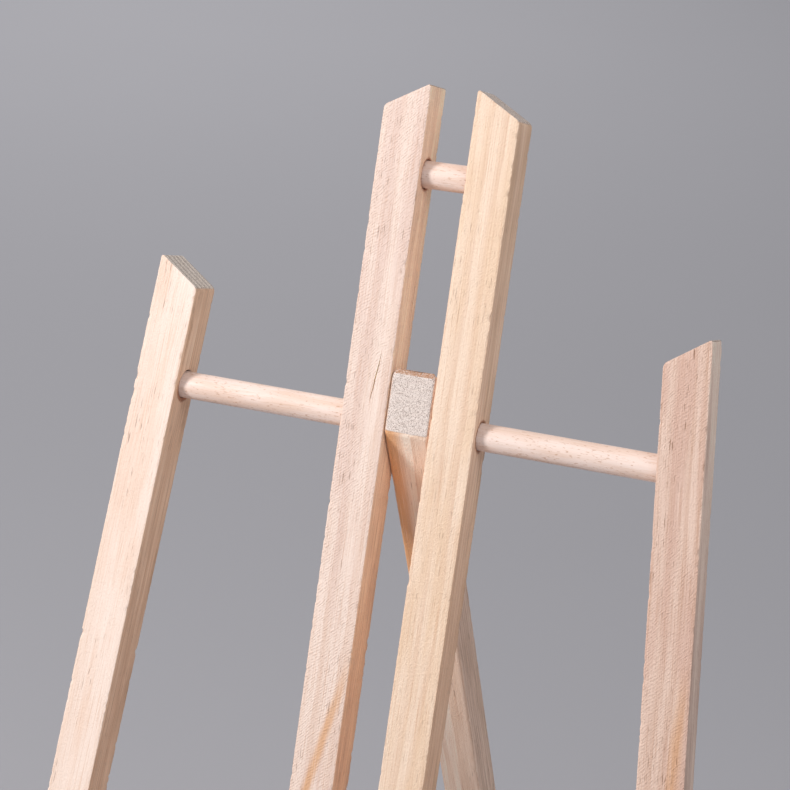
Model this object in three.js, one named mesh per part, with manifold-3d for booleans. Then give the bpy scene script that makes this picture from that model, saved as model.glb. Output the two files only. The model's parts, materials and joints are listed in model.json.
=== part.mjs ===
// A small standing artist's easel of square pine sticks and round dowels.
//
// The front frame is four sticks: two tall parallel uprights in the middle, with a slot
// between them, and a shorter splayed leg on each side. A pivot dowel and a lower rung run
// across all four, and a short spacer dowel holds the tops of the uprights apart. A rear leg
// hangs on the pivot dowel inside the slot. A ledge with a front lip carries the canvas.
//
// Units are millimetres. +Z is up, the canvas side faces -Y, and +X is to the right when the
// easel is seen from the front. The origin is the middle of the footprint, on the floor.
import * as THREE from 'three';
import { mergeVertices } from 'three/addons/utils/BufferGeometryUtils.js';
import Module from 'manifold-3d';

const wasm = await Module();
wasm.setup();

// ---- driving dimensions ---------------------------------------------------------------
const STICK = 20;                // square section of every stick
const SLOT = 20.6;               // clear width between the two uprights
const EASE = 0.5;                // arris taken off every stick
const LEAN = 20;                 // degrees the front frame leans back
const SPREAD = 41;               // degrees between the front frame and the rear leg
const SPLAY = 5.1;               // degrees each outer leg runs outwards going down
const TOP_CUT = 29.5;            // degrees of the slanting saw cut on the front sticks' tops
const PIVOT_HEIGHT = 450;        // pivot dowel above the floor
const LEG_OFFSET = 119.5;        // outer leg's centre line from the middle, at the pivot dowel
const FLOOR_ALLOWANCE = 60;      // stick left long below the pivot, then sawn off at the floor

// Heights in the front frame, measured along the uprights from the pivot dowel.
const UPRIGHT_PEAK = 145.2;
const UPRIGHT_FOOT = -362;
const LEG_PEAK = 56.2;
const SPACER_HEIGHT = 107;
const RUNG_HEIGHT = -330;
const LEDGE_HEIGHT = -290;       // middle of the ledge board

const DOWEL_RADIUS = 6;
const DOWEL_CLEARANCE = 0.35;
const BLIND_DEPTH = 11;          // how far a dowel end goes into a stick
const DOWEL_SIDES = 40;

const REAR_LEG_CREST = 23;       // rear leg's square end above the pivot, along the leg
const REAR_LEG_LEVEL = 0.2;      // rear leg's bevel behind the front faces
const CORD_HOLE_RADIUS = 2;
const CORD_HOLE_ABOVE_FOOT = 170;

const LEDGE_LENGTH = 330;
const LEDGE_DEPTH = 34;
const LEDGE_THICKNESS = 12;
const LEDGE_CORNER = 3;
const LIP_HEIGHT = 24;
const LIP_THICKNESS = 8;
const JOINT_GAP = 0.3;           // glue line, or clearance, between two pieces that meet

const SCREW = { length: 35, shank: 1.75, head: 3.6, headDepth: 2.4, tip: 5, recess: 1.4 };
const BRAD = { length: 13.5, shank: 0.65, head: 1.15, headDepth: 0.6, tip: 2 };
const LIP_PIN = { length: 20, shank: 0.65, head: 1.15, headDepth: 0.6, tip: 2 };
const BRAD_SET = 0.4;            // how far a pin's head is punched below the surface
const PIN_CLEARANCE = 0.3;
const LIP_PIN_SPACING = 120;

const radians = THREE.MathUtils.degToRad;
const HALF = STICK / 2;
const TOP_DROP = STICK * Math.tan(radians(TOP_CUT));
const UPRIGHT_OFFSET = SLOT / 2 + HALF;

// ---- materials ------------------------------------------------------------------------
const wood = (name, colour) =>
  new THREE.MeshStandardMaterial({ name, color: colour, roughness: 0.75, metalness: 0 });
const steel = () =>
  new THREE.MeshStandardMaterial({ name: 'steel', color: 0xb9bcc0, roughness: 0.35, metalness: 1 });

// ---- solids ---------------------------------------------------------------------------
function toSolid(geometry) {
  const bare = geometry.clone();
  bare.deleteAttribute('normal');
  bare.deleteAttribute('uv');
  const merged = mergeVertices(bare, 1e-4);
  return new wasm.Manifold(new wasm.Mesh({
    numProp: 3,
    vertProperties: new Float32Array(merged.attributes.position.array),
    triVerts: new Uint32Array(merged.index.array),
  }));
}

function toGeometry(solid) {
  const mesh = solid.getMesh();
  const geometry = new THREE.BufferGeometry();
  geometry.setAttribute('position', new THREE.BufferAttribute(mesh.vertProperties, 3));
  geometry.setIndex(new THREE.BufferAttribute(mesh.triVerts, 1));
  geometry.computeVertexNormals();
  return geometry;
}

// Cuts tools out of a piece. The tools are given in the group's coordinates, and place is
// where the piece lies in that group.
function carve(geometry, place, tools) {
  const toPiece = place.clone().invert();
  let solid = toSolid(geometry);
  for (const tool of tools) {
    solid = solid.subtract(toSolid(tool.clone().applyMatrix4(toPiece)));
  }
  return toGeometry(solid);
}

function addPiece(group, name, material, geometry, place = new THREE.Matrix4()) {
  const mesh = new THREE.Mesh(geometry, material);
  mesh.name = name;
  mesh.applyMatrix4(place);
  group.add(mesh);
}

// A board whose outline lies in the X-Z plane and whose thickness is centred on Y.
function easedBoard(outline, thickness) {
  const board = new THREE.ExtrudeGeometry(outline, {
    depth: thickness - 2 * EASE,
    bevelThickness: EASE,
    bevelSize: EASE,
    bevelOffset: -EASE,
    bevelSegments: 1,
    curveSegments: 6,
  });
  board.translate(0, 0, EASE - thickness / 2);
  board.rotateX(Math.PI / 2);
  return board;
}

// A square stick along Z, from foot to its slanting top. highSide is -1 or +1, the X side
// that the peak is on.
function slantedStick(foot, peak, highSide) {
  const outline = new THREE.Shape([
    new THREE.Vector2(-HALF, foot),
    new THREE.Vector2(HALF, foot),
    new THREE.Vector2(HALF, highSide > 0 ? peak : peak - TOP_DROP),
    new THREE.Vector2(-HALF, highSide > 0 ? peak - TOP_DROP : peak),
  ]);
  return easedBoard(outline, STICK);
}

function roundedRectangle(width, height, corner) {
  const x = width / 2 - corner;
  const y = height / 2 - corner;
  const outline = new THREE.Shape();
  outline.absarc(x, y, corner, 0, Math.PI / 2);
  outline.absarc(-x, y, corner, Math.PI / 2, Math.PI);
  outline.absarc(-x, -y, corner, Math.PI, 1.5 * Math.PI);
  outline.absarc(x, -y, corner, 1.5 * Math.PI, 2 * Math.PI);
  return outline;
}

// A cylinder along X between two ends, at a height on the frame.
function crossCylinder(radius, from, to, height) {
  const cylinder = new THREE.CylinderGeometry(radius, radius, to - from, DOWEL_SIDES);
  cylinder.rotateZ(Math.PI / 2);
  cylinder.translate((from + to) / 2, 0, height);
  return cylinder;
}

// A turned nail or screw along Y: its head's top is at start, and it points along direction.
// growth makes the same shape larger, for the hole that it sits in.
function turnedPin({ length, shank, head, headDepth, tip }, start, direction, growth = 0) {
  const profile = [
    new THREE.Vector2(0, growth),
    new THREE.Vector2(head + growth, growth),
    new THREE.Vector2(shank + growth, -headDepth - growth / 2),
    new THREE.Vector2(shank + growth, tip - length),
    new THREE.Vector2(0, -length - growth),
  ].reverse();
  const pin = new THREE.LatheGeometry(profile, 20);
  if (direction > 0) pin.rotateX(Math.PI);
  pin.translate(start.x, start.y, start.z);
  return pin;
}

// ---- what is driven into the frame ----------------------------------------------------
// Every hole is cut with the same shape as the pin that sits in it, grown by the clearance,
// and opened out to the surface that it was driven from.
const backFace = HALF;
const legX = (height) => LEG_OFFSET - height * Math.tan(radians(SPLAY));
const legInnerFace = (height) => legX(height) - HALF / Math.cos(radians(SPLAY));
const pivotEnd = legInnerFace(0) + BLIND_DEPTH;
const rungEnd = legInnerFace(RUNG_HEIGHT) + BLIND_DEPTH;
const spacerEnd = SLOT / 2 + BLIND_DEPTH;

const brads = [];
for (const [side, word] of [[-1, 'left'], [1, 'right']]) {
  const bradAt = (name, x, z) => brads.push({
    name: `${word}_${name}_brad`,
    start: new THREE.Vector3(side * x, backFace - BRAD_SET, z),
  });
  bradAt('spacer', SLOT / 2 + BLIND_DEPTH / 2, SPACER_HEIGHT);
  bradAt('upright_pivot', UPRIGHT_OFFSET, 0);
  bradAt('upright_rung', UPRIGHT_OFFSET, RUNG_HEIGHT);
  bradAt('leg_pivot', pivotEnd - BLIND_DEPTH / 2, 0);
  bradAt('leg_rung', rungEnd - BLIND_DEPTH / 2, RUNG_HEIGHT);
}

const screws = [];
for (const [side, word] of [[-1, 'left'], [1, 'right']]) {
  for (const [place, x] of [['outer', legX(LEDGE_HEIGHT)], ['inner', UPRIGHT_OFFSET]]) {
    screws.push({
      name: `${word}_${place}_ledge_screw`,
      start: new THREE.Vector3(side * x, backFace, LEDGE_HEIGHT),
    });
  }
}

const bradHoles = brads.map((brad) => turnedPin(BRAD, brad.start, -1, PIN_CLEARANCE));
const bradMouths = brads.map((brad) => {
  const mouth = new THREE.CylinderGeometry(BRAD.head + PIN_CLEARANCE, BRAD.head + PIN_CLEARANCE, 2, 20);
  return mouth.translate(brad.start.x, brad.start.y + 1.1, brad.start.z);
});
const screwHoles = screws.map((screw) => turnedPin(SCREW, screw.start, -1, PIN_CLEARANCE));

const holeRadius = DOWEL_RADIUS + DOWEL_CLEARANCE;
const pivotHole = crossCylinder(holeRadius, -pivotEnd - 1, pivotEnd + 1, 0);
const rungHole = crossCylinder(holeRadius, -rungEnd - 1, rungEnd + 1, RUNG_HEIGHT);
const spacerHole = crossCylinder(holeRadius, -spacerEnd - 1, spacerEnd + 1, SPACER_HEIGHT);
const frameHoles = [pivotHole, rungHole, spacerHole, ...bradHoles, ...bradMouths, ...screwHoles];

// ---- groups ---------------------------------------------------------------------------
const easel = new THREE.Group();
const frontFrame = new THREE.Group();
frontFrame.position.z = PIVOT_HEIGHT;
frontFrame.rotation.x = -radians(LEAN);
const rearGroup = new THREE.Group();
rearGroup.position.z = PIVOT_HEIGHT;
rearGroup.rotation.x = radians(SPREAD - LEAN);
easel.add(frontFrame, rearGroup);
easel.updateMatrixWorld(true);

// The block of space under the floor, which saws the feet off level.
function floorIn(group) {
  const block = new THREE.BoxGeometry(1200, 1200, 200);
  block.translate(0, 0, -100);
  return block.applyMatrix4(group.matrixWorld.clone().invert());
}

// ---- front frame ----------------------------------------------------------------------
const frontFloor = floorIn(frontFrame);
const belowFloor = -(PIVOT_HEIGHT / Math.cos(radians(LEAN)) + FLOOR_ALLOWANCE);

for (const [side, word] of [[-1, 'left'], [1, 'right']]) {
  const legPlace = new THREE.Matrix4()
    .makeRotationY(-side * radians(SPLAY))
    .setPosition(side * LEG_OFFSET, 0, 0);
  const leg = slantedStick(belowFloor, LEG_PEAK, side);
  addPiece(frontFrame, `${word}_outer_leg`, wood('pine', 0xe9d6bf),
    carve(leg, legPlace, [...frameHoles, frontFloor]), legPlace);

  const uprightPlace = new THREE.Matrix4().setPosition(side * UPRIGHT_OFFSET, 0, 0);
  const upright = slantedStick(UPRIGHT_FOOT, UPRIGHT_PEAK, -side);
  addPiece(frontFrame, `${word}_centre_upright`, wood('pine', 0xe8d2bc),
    carve(upright, uprightPlace, frameHoles), uprightPlace);
}

// The three dowels. The lower rung has a hole in the middle for the stay cord's knot.
const still = new THREE.Matrix4();
const rungCordHole = new THREE.CylinderGeometry(CORD_HOLE_RADIUS, CORD_HOLE_RADIUS, STICK, 20);
rungCordHole.translate(0, 0, RUNG_HEIGHT);
for (const [name, end, height, cuts] of [
  ['pivot_dowel', pivotEnd, 0, []],
  ['lower_rung', rungEnd, RUNG_HEIGHT, [rungCordHole]],
  ['top_spacer_dowel', spacerEnd, SPACER_HEIGHT, []],
]) {
  const dowel = crossCylinder(DOWEL_RADIUS, -end, end, height);
  addPiece(frontFrame, name, wood('dowel', 0xe6cda9), carve(dowel, still, [...bradHoles, ...cuts]));
}

// ---- canvas ledge ---------------------------------------------------------------------
const ledgeBack = -(HALF + JOINT_GAP);
const ledgeFront = ledgeBack - LEDGE_DEPTH;
const lipBack = ledgeFront - JOINT_GAP;
const lipFront = lipBack - LIP_THICKNESS;

const lipPins = [-1, 0, 1].map((step) => ({
  name: ['left_lip_pin', 'middle_lip_pin', 'right_lip_pin'][step + 1],
  start: new THREE.Vector3(step * LIP_PIN_SPACING, lipFront + BRAD_SET, LEDGE_HEIGHT),
}));
const lipPinHoles = lipPins.map((pin) => turnedPin(LIP_PIN, pin.start, 1, PIN_CLEARANCE));
const lipPinMouths = lipPins.map((pin) => {
  const mouth = new THREE.CylinderGeometry(BRAD.head + PIN_CLEARANCE, BRAD.head + PIN_CLEARANCE, 2, 20);
  return mouth.translate(pin.start.x, pin.start.y - 1.1, pin.start.z);
});

const boardPlace = new THREE.Matrix4()
  .makeRotationX(-Math.PI / 2)
  .setPosition(0, (ledgeBack + ledgeFront) / 2, LEDGE_HEIGHT);
const board = easedBoard(roundedRectangle(LEDGE_LENGTH, LEDGE_DEPTH, LEDGE_CORNER), LEDGE_THICKNESS);
addPiece(frontFrame, 'canvas_ledge', wood('pine', 0xead8c0),
  carve(board, boardPlace, [...screwHoles, ...lipPinHoles]), boardPlace);

const lipMiddle = LEDGE_HEIGHT + (LIP_HEIGHT - LEDGE_THICKNESS) / 2;
const lipPlace = new THREE.Matrix4().setPosition(0, (lipBack + lipFront) / 2, lipMiddle);
const lip = easedBoard(roundedRectangle(LEDGE_LENGTH, LIP_HEIGHT, LEDGE_CORNER), LIP_THICKNESS);
addPiece(frontFrame, 'ledge_lip', wood('pine', 0xe8d3b9),
  carve(lip, lipPlace, [...lipPinHoles, ...lipPinMouths]), lipPlace);

// ---- fasteners ------------------------------------------------------------------------
for (const screw of screws) {
  const slots = [0, Math.PI / 2].map((turn) => {
    const slot = new THREE.BoxGeometry(2 * SCREW.head * 0.6, 2 * SCREW.recess, 0.7);
    return slot.rotateY(turn + Math.PI / 4).translate(screw.start.x, screw.start.y, screw.start.z);
  });
  addPiece(frontFrame, screw.name, steel(), carve(turnedPin(SCREW, screw.start, -1), still, slots));
}
for (const brad of brads) {
  addPiece(frontFrame, brad.name, steel(), carve(turnedPin(BRAD, brad.start, -1), still, []));
}
for (const pin of lipPins) {
  addPiece(frontFrame, pin.name, steel(), carve(turnedPin(LIP_PIN, pin.start, 1), still, []));
}

// ---- rear leg -------------------------------------------------------------------------
// Its square end is bevelled so that the end stands level with the uprights' front faces
// when the leg is fully open.
const rearLeg = easedBoard(new THREE.Shape([
  new THREE.Vector2(-HALF, belowFloor),
  new THREE.Vector2(HALF, belowFloor),
  new THREE.Vector2(HALF, REAR_LEG_CREST),
  new THREE.Vector2(-HALF, REAR_LEG_CREST),
]), STICK);
const bevelBlock = new THREE.BoxGeometry(100, 100, 100);
bevelBlock.translate(0, -HALF + REAR_LEG_LEVEL - 50, 0);
bevelBlock.rotateX(-radians(SPREAD));
const rearFootHeight = -PIVOT_HEIGHT / Math.cos(radians(SPREAD - LEAN));
const rearCordHole = new THREE.CylinderGeometry(CORD_HOLE_RADIUS, CORD_HOLE_RADIUS, 2 * STICK, 20);
rearCordHole.translate(0, 0, rearFootHeight + CORD_HOLE_ABOVE_FOOT);
const rearPivotHole = crossCylinder(holeRadius, -STICK, STICK, 0);
addPiece(rearGroup, 'rear_leg', wood('pine', 0xdfc4a6),
  carve(rearLeg, still, [bevelBlock, rearPivotHole, rearCordHole, floorIn(rearGroup)]));

// ---- origin: middle of the footprint --------------------------------------------------
const whole = new THREE.Box3().setFromObject(easel, true);
easel.position.y = -(whole.min.y + whole.max.y) / 2;

export default easel;
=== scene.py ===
import json
import math

import bmesh
import bpy
from mathutils import Matrix, Vector, noise


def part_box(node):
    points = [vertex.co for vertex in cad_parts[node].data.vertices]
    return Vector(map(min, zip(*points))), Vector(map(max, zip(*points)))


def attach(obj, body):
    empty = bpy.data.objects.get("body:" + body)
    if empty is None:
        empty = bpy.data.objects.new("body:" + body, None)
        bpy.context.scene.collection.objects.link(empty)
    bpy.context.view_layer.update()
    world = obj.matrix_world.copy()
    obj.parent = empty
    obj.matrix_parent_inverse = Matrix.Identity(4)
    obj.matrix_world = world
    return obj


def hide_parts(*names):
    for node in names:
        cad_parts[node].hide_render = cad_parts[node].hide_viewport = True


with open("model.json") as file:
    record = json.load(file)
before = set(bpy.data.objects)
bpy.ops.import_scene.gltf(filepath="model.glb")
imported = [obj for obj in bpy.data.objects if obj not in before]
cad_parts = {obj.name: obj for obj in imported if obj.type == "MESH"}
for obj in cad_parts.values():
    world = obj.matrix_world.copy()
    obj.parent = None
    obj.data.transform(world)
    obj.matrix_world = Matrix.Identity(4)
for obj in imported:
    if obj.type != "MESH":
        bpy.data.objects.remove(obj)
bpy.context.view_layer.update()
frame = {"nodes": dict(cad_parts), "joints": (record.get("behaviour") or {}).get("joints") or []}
mm = 0.001


# ---------------------------------------------------------------- camera
# A long lens a little above the top of the easel and to its right. It looks down at the front of the
# upper half, where the uprights, the outer legs and the rear leg meet on the pivot dowel.

EYE = Vector((0.29085, -0.79098, 0.83952))
SIGHT = Vector((-0.32522, 0.85275, -0.40872)).normalized()
LENS_RIGHT = Vector((0.93169, 0.36291, 0.01584)).normalized()
SENSOR_WIDTH = 36
FOCAL_LENGTH = 97.88

lens = bpy.data.cameras.new("studio_camera")
lens.sensor_width = SENSOR_WIDTH
lens.lens = FOCAL_LENGTH
camera = bpy.data.objects.new("studio_camera", lens)
lens_up = LENS_RIGHT.cross(SIGHT)
camera.matrix_world = Matrix.Translation(EYE) @ Matrix((LENS_RIGHT, lens_up, -SIGHT)).transposed().to_4x4()
bpy.context.scene.collection.objects.link(camera)
bpy.context.scene.camera = camera


# ---------------------------------------------------------------- studio
# A grey paper floor in an even grey surround, painted paler where it runs out of sight to stand in
# for light on the far floor. A small key light high on the left casts the shadows, two weaker lights
# lift the shaded sides, and a fourth lights the floor behind.

scene = bpy.context.scene
scene.view_settings.view_transform = "Standard"
FLOOR_SPAN = 90.0
FLOOR_COLOUR = (0.385, 0.380, 0.404, 1)
FLOOR_FLECK = (0.393, 0.388, 0.412, 1)
FAR_FLOOR_PAINTED_LIGHT = (0.90, 0.89, 0.92, 1)
GREY_CENTRE = (-0.8, 2.0, 0)
GREY_REACH = 3.0
PALE_REACH = 6.5
SURROUND_COLOUR = (0.97, 0.97, 1, 1)
SURROUND_STRENGTH = 0.36
LIT_POINT = Vector((0, 0, 0.5))
KEY_DIRECTION = Vector((-0.669, -0.571, 0.477)).normalized()
KEY_DISTANCE = 1.25
KEY_WIDTH = 0.38
KEY_POWER = 15.0
FILL_DIRECTION = Vector((0.62, -0.30, 0.72)).normalized()
FILL_DISTANCE = 0.85
FILL_WIDTH = 0.5
FILL_POWER = 2.3
FRONT_DIRECTION = Vector((0.30, -0.95, 0.10)).normalized()
FRONT_DISTANCE = 1.7
FRONT_WIDTH = 0.9
FRONT_POWER = 3.0
BACKDROP_DIRECTION = Vector((-1.5, 2.3, 1.5)).normalized()
BACKDROP_DISTANCE = 3.0
BACKDROP_WIDTH = 2.2
BACKDROP_POWER = 32.0


def put(tree, kind, inputs=None, **settings):
    """Adds a node, with its own settings, and values or sockets for its inputs."""
    node = tree.nodes.new(kind)
    for label, value in settings.items():
        setattr(node, label, value)
    for label, value in (inputs or {}).items():
        if isinstance(value, bpy.types.NodeSocket):
            tree.links.new(value, node.inputs[label])
        else:
            node.inputs[label].default_value = value
    return node


def soft_box(name, direction, distance, width, power, colour, facing=None):
    """A round soft light that faces the easel, or another way if one is given."""
    light = bpy.data.lights.new(name, "AREA")
    light.shape = "DISK"
    light.size = width
    light.energy = power
    light.color = colour
    lamp = bpy.data.objects.new(name, light)
    turn = (facing or direction).to_track_quat("Z", "Y").to_matrix().to_4x4()
    lamp.matrix_world = Matrix.Translation(LIT_POINT + direction * distance) @ turn
    scene.collection.objects.link(lamp)


soft_box("key_light", KEY_DIRECTION, KEY_DISTANCE, KEY_WIDTH, KEY_POWER, (1, 0.985, 0.97))
soft_box("fill_light", FILL_DIRECTION, FILL_DISTANCE, FILL_WIDTH, FILL_POWER, (0.98, 0.98, 1))
soft_box("front_light", FRONT_DIRECTION, FRONT_DISTANCE, FRONT_WIDTH, FRONT_POWER, (0.98, 0.98, 1))
soft_box("backdrop_light", BACKDROP_DIRECTION, BACKDROP_DISTANCE, BACKDROP_WIDTH, BACKDROP_POWER, (1, 1, 1),
         Vector((0, 0, 1)))

surround = bpy.data.worlds.new("grey_surround")
surround.use_nodes = True
surround.node_tree.nodes["Background"].inputs["Color"].default_value = SURROUND_COLOUR
surround.node_tree.nodes["Background"].inputs["Strength"].default_value = SURROUND_STRENGTH
scene.world = surround

bm = bmesh.new()
bmesh.ops.create_grid(bm, x_segments=1, y_segments=1, size=FLOOR_SPAN / 2)
floor_mesh = bpy.data.meshes.new("studio_floor")
bm.to_mesh(floor_mesh)
bm.free()
studio_floor = bpy.data.objects.new("studio_floor", floor_mesh)
scene.collection.objects.link(studio_floor)

paper = bpy.data.materials.new("grey_paper")
paper.use_nodes = True
tree = paper.node_tree
spot = put(tree, "ShaderNodeTexCoord").outputs["Object"]
pulp = put(tree, "ShaderNodeTexNoise", {"Vector": spot, "Scale": 3.0, "Detail": 2.0})
tint = put(tree, "ShaderNodeMix", {0: pulp.outputs["Fac"], 6: FLOOR_COLOUR, 7: FLOOR_FLECK},
           data_type="RGBA").outputs[2]
# Painted light: beyond GREY_REACH from GREY_CENTRE the floor turns pale, standing in for light on the far
# floor.
span = put(tree, "ShaderNodeVectorMath", {0: spot, 1: GREY_CENTRE}, operation="DISTANCE").outputs["Value"]
far_painted_light = put(tree, "ShaderNodeMapRange", {"Value": span, "From Min": GREY_REACH, "From Max": PALE_REACH},
            interpolation_type="SMOOTHSTEP").outputs["Result"]
tint = put(tree, "ShaderNodeMix", {0: far_painted_light, 6: tint, 7: FAR_FLOOR_PAINTED_LIGHT}, data_type="RGBA").outputs[2]
tree.links.new(tint, tree.nodes["Principled BSDF"].inputs["Base Color"])
tree.nodes["Principled BSDF"].inputs["Roughness"].default_value = 0.95
tree.nodes["Principled BSDF"].inputs["Specular IOR Level"].default_value = 0.1
floor_mesh.materials.append(paper)


# ---------------------------------------------------------------- centre uprights
# Two square pine sticks a rear leg's width apart, sawn to a slant at the top and square at the foot.
# Each is planed on four sides, its arrises only just eased, and drilled across for the dowels.

PIVOT = Vector(frame["joints"][0]["pos_m"])
LEAN = math.radians(20)
STICK = 20 * mm
SLOT_HALF = 10.3 * mm
SPLAY = math.radians(5.1)
TOP_SLANT = math.radians(29.5)
OUTLINE_CORNER = 1.7 * mm
SLANT_MARGIN = 16 * mm
SQUARE_MARGIN = 6 * mm
UPRIGHT_PEAK = 145.2 * mm
UPRIGHT_FOOT = -362 * mm
SPACER_HEIGHT = 107 * mm
BLIND_BORE = 11.2 * mm
SPACER_BRAD_ASIDE = 4.5 * mm
RUNG_HEIGHT = -330 * mm
HOLE_RADIUS = 6.35 * mm
BRAD_HEAD = 1.3 * mm
BRAD_FLOOR = 9.1 * mm
SCREW_HEAD = 3.7 * mm
SCREW_SHANK = 1.9 * mm
SCREW_SINK = 2.5 * mm
LEDGE_HEIGHT = -290 * mm
CRACK_TOP = Vector((4.7, 0, 29.8)) * mm
CRACK_FOOT = Vector((1.9, 0, 6.7)) * mm
CRACK_WIDTH = 0.5 * mm
CRACK_DEPTH = 1.6 * mm
CREASE = math.radians(32)

front_place = Matrix.Translation(PIVOT) @ Matrix.Rotation(-LEAN, 4, "X")


def whole(bm):
    return bm.verts[:] + bm.edges[:] + bm.faces[:]


def slant_cut(peak_x, height):
    """A slanted saw cut that peaks on one side of a stick, as a point on it and the way it faces."""
    outward = Vector((-math.copysign(math.sin(TOP_SLANT), peak_x), 0, math.cos(TOP_SLANT)))
    return Vector((peak_x, 0, height)), outward


def round_off(bm, edges, radius, segments):
    bmesh.ops.bevel(bm, geom=edges, offset=radius, segments=segments, profile=0.5, affect="EDGES",
                    material=-1)


def milled_stick(width, depth, low, high, calm, cuts, corner, seed, rim=None, ease=0.32 * mm,
                 ease_segments=2, splinter=None):
    """A planed stick in its own frame: X across, Y through from the front, Z along the grain.
    cuts are the sawn ends, corner rounds their outline, and calm is the plain stretch between them.
    rim also rounds the edges across the very top, and ease is how far the arrises are taken off."""
    step = 1.0 * mm
    steep = math.radians(35)
    bm = bmesh.new()
    bmesh.ops.create_cube(bm, size=1)
    bmesh.ops.scale(bm, vec=(width, depth, high - low), verts=bm.verts)
    bmesh.ops.translate(bm, vec=(0, 0, (high + low) / 2), verts=bm.verts)
    for point, outward in cuts:
        bmesh.ops.bisect_plane(bm, geom=whole(bm), plane_co=point, plane_no=outward, clear_outer=True)
        bmesh.ops.holes_fill(bm, edges=[e for e in bm.edges if e.is_boundary])
    corners = []
    for edge in bm.edges:
        along = (edge.verts[1].co - edge.verts[0].co).normalized()
        if abs(along.y) > 0.9 and abs(abs(edge.verts[0].co.x) - width / 2) < 0.2 * mm:
            corners.append(edge)
    round_off(bm, corners, corner, 4)
    if rim:
        across_top = [e for e in bm.edges if all(abs(v.co.z - high) < 0.1 * mm for v in e.verts)
                      and e.calc_face_angle(0) > steep]
        round_off(bm, across_top, rim, 4)
    arrises = [e for e in bm.edges if e.calc_face_angle(0) > steep]
    round_off(bm, arrises, ease, ease_segments)
    for axis, half in ((0, width / 2), (1, depth / 2)):
        across = Vector((1 - axis, axis, 0))
        inset = 1.0 * mm
        while inset < half * 0.98:
            for side in (-1, 1):
                line = across * side * (half - inset)
                bmesh.ops.bisect_plane(bm, geom=whole(bm), plane_co=line, plane_no=across)
            inset = inset * 1.6 + 0.4 * mm
    for level in calm:
        bmesh.ops.bisect_plane(bm, geom=whole(bm), plane_co=(0, 0, level), plane_no=(0, 0, 1))
    span = calm[1] - calm[0]
    long_edges = [e for e in bm.edges if abs(e.verts[0].co.z - e.verts[1].co.z) > span * 0.99]
    bmesh.ops.subdivide_edges(bm, edges=long_edges, cuts=int(span / step), use_grid_fill=True)
    for start, stop in ((low, calm[0]), (calm[1], high)):
        for i in range(1, int((stop - start) / step)):
            level = (0, 0, start + i * step)
            bmesh.ops.bisect_plane(bm, geom=whole(bm), plane_co=level, plane_no=(0, 0, 1))
    wear_arrises(bm, width, depth, seed, splinter)
    return bm


def wear_arrises(bm, width, depth, seed, splinter=None):
    """Dents and chips the arrises by fractions of a millimetre and leaves the planed faces a little uneven.
    The vertex attribute "arris" is 1 on an arris and fades to 0 on the faces. A splinter is a sliver lifted
    off one arris: which one across, which one through, its level and how far it stands off."""
    worn_band = 2.0
    deepest_dent = 0.12
    slow_dent = 0.05
    rare = 0.30
    arris = bm.verts.layers.float.new("arris")
    for vert in bm.verts:
        x, y, z = vert.co / mm
        side_gap = width / mm / 2 - abs(x)
        face_gap = depth / mm / 2 - abs(y)
        near = max(0.0, 1 - math.hypot(side_gap, face_gap) / worn_band)
        vert[arris] = near
        row = seed * 17.3 + (x > 0) * 5.1 + (y > 0) * 2.7
        dent = slow_dent * noise.noise((row, 0.5, z * 0.06))
        dent = dent + deepest_dent * noise.noise((row, 3.5, z * 0.45))
        chip = max(0.0, noise.noise((row, 7.5, z * 0.33)) - rare) * 1.7
        bite = (0.08 + dent + chip) * near ** 1.6
        if splinter:
            across, through, level, lift = splinter
            if x * across > 0 and y * through > 0:
                way = (z - level) / 1.3 if z > level else (level - z) / 3.4
                bite -= lift * max(0.0, 1 - way) ** 1.5 * near ** 3
        vert.co.x -= math.copysign(bite * 0.7 * mm, x)
        vert.co.y -= math.copysign(bite * 0.7 * mm, y)
        swell = 0.05 * noise.noise((x * 0.16 + seed * 9.1, y * 0.16, z * 0.025)) * (1 - near)
        if side_gap < 0.05:
            vert.co.x += math.copysign(swell * mm, x)
        if face_gap < 0.05:
            vert.co.y += math.copysign(swell * mm, y)


def turned(bm, profile, place, steps=48):
    """Spins a profile of (radius, height) points round the place's own Z axis."""
    shape = bmesh.new()
    line = [shape.verts.new((radius, 0, height)) for radius, height in profile]
    for a, b in zip(line, line[1:]):
        shape.edges.new((a, b))
    bmesh.ops.spin(shape, geom=whole(shape), cent=(0, 0, 0), axis=(0, 0, 1),
                   angle=math.tau, steps=steps, use_merge=True)
    bmesh.ops.remove_doubles(shape, verts=shape.verts, dist=1e-7)
    bmesh.ops.recalc_face_normals(shape, faces=shape.faces)
    bmesh.ops.transform(shape, matrix=place, verts=shape.verts)
    spare = bpy.data.meshes.new("spare")
    shape.to_mesh(spare)
    bm.from_mesh(spare)
    bpy.data.meshes.remove(spare)
    shape.free()


def drill(bm, place, start, stop, radius=HOLE_RADIUS):
    """A drilled hole along the place's X axis, with its rim torn open a little where it starts."""
    flare = 0.3 * mm
    reach = abs(stop - start)
    profile = [(0, -1 * mm), (radius + flare * 2, -1 * mm), (radius + flare, 0), (radius, flare),
               (radius, reach), (0, reach + 1 * mm)]
    heading = math.radians(90) if stop > start else math.radians(-90)
    turned(bm, profile, place @ Matrix.Translation((start, 0, 0)) @ Matrix.Rotation(heading, 4, "Y"))


def brad_recess(bm, place, x, z):
    """The shallow pit of a brad driven in from the back face."""
    turn = Matrix.Rotation(math.radians(90), 4, "X")
    depth = STICK / 2 - BRAD_FLOOR
    profile = [(0, -1 * mm), (BRAD_HEAD, -1 * mm), (BRAD_HEAD, depth), (0, depth)]
    turned(bm, profile, place @ Matrix.Translation((x, STICK / 2, z)) @ turn, 24)


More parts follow.
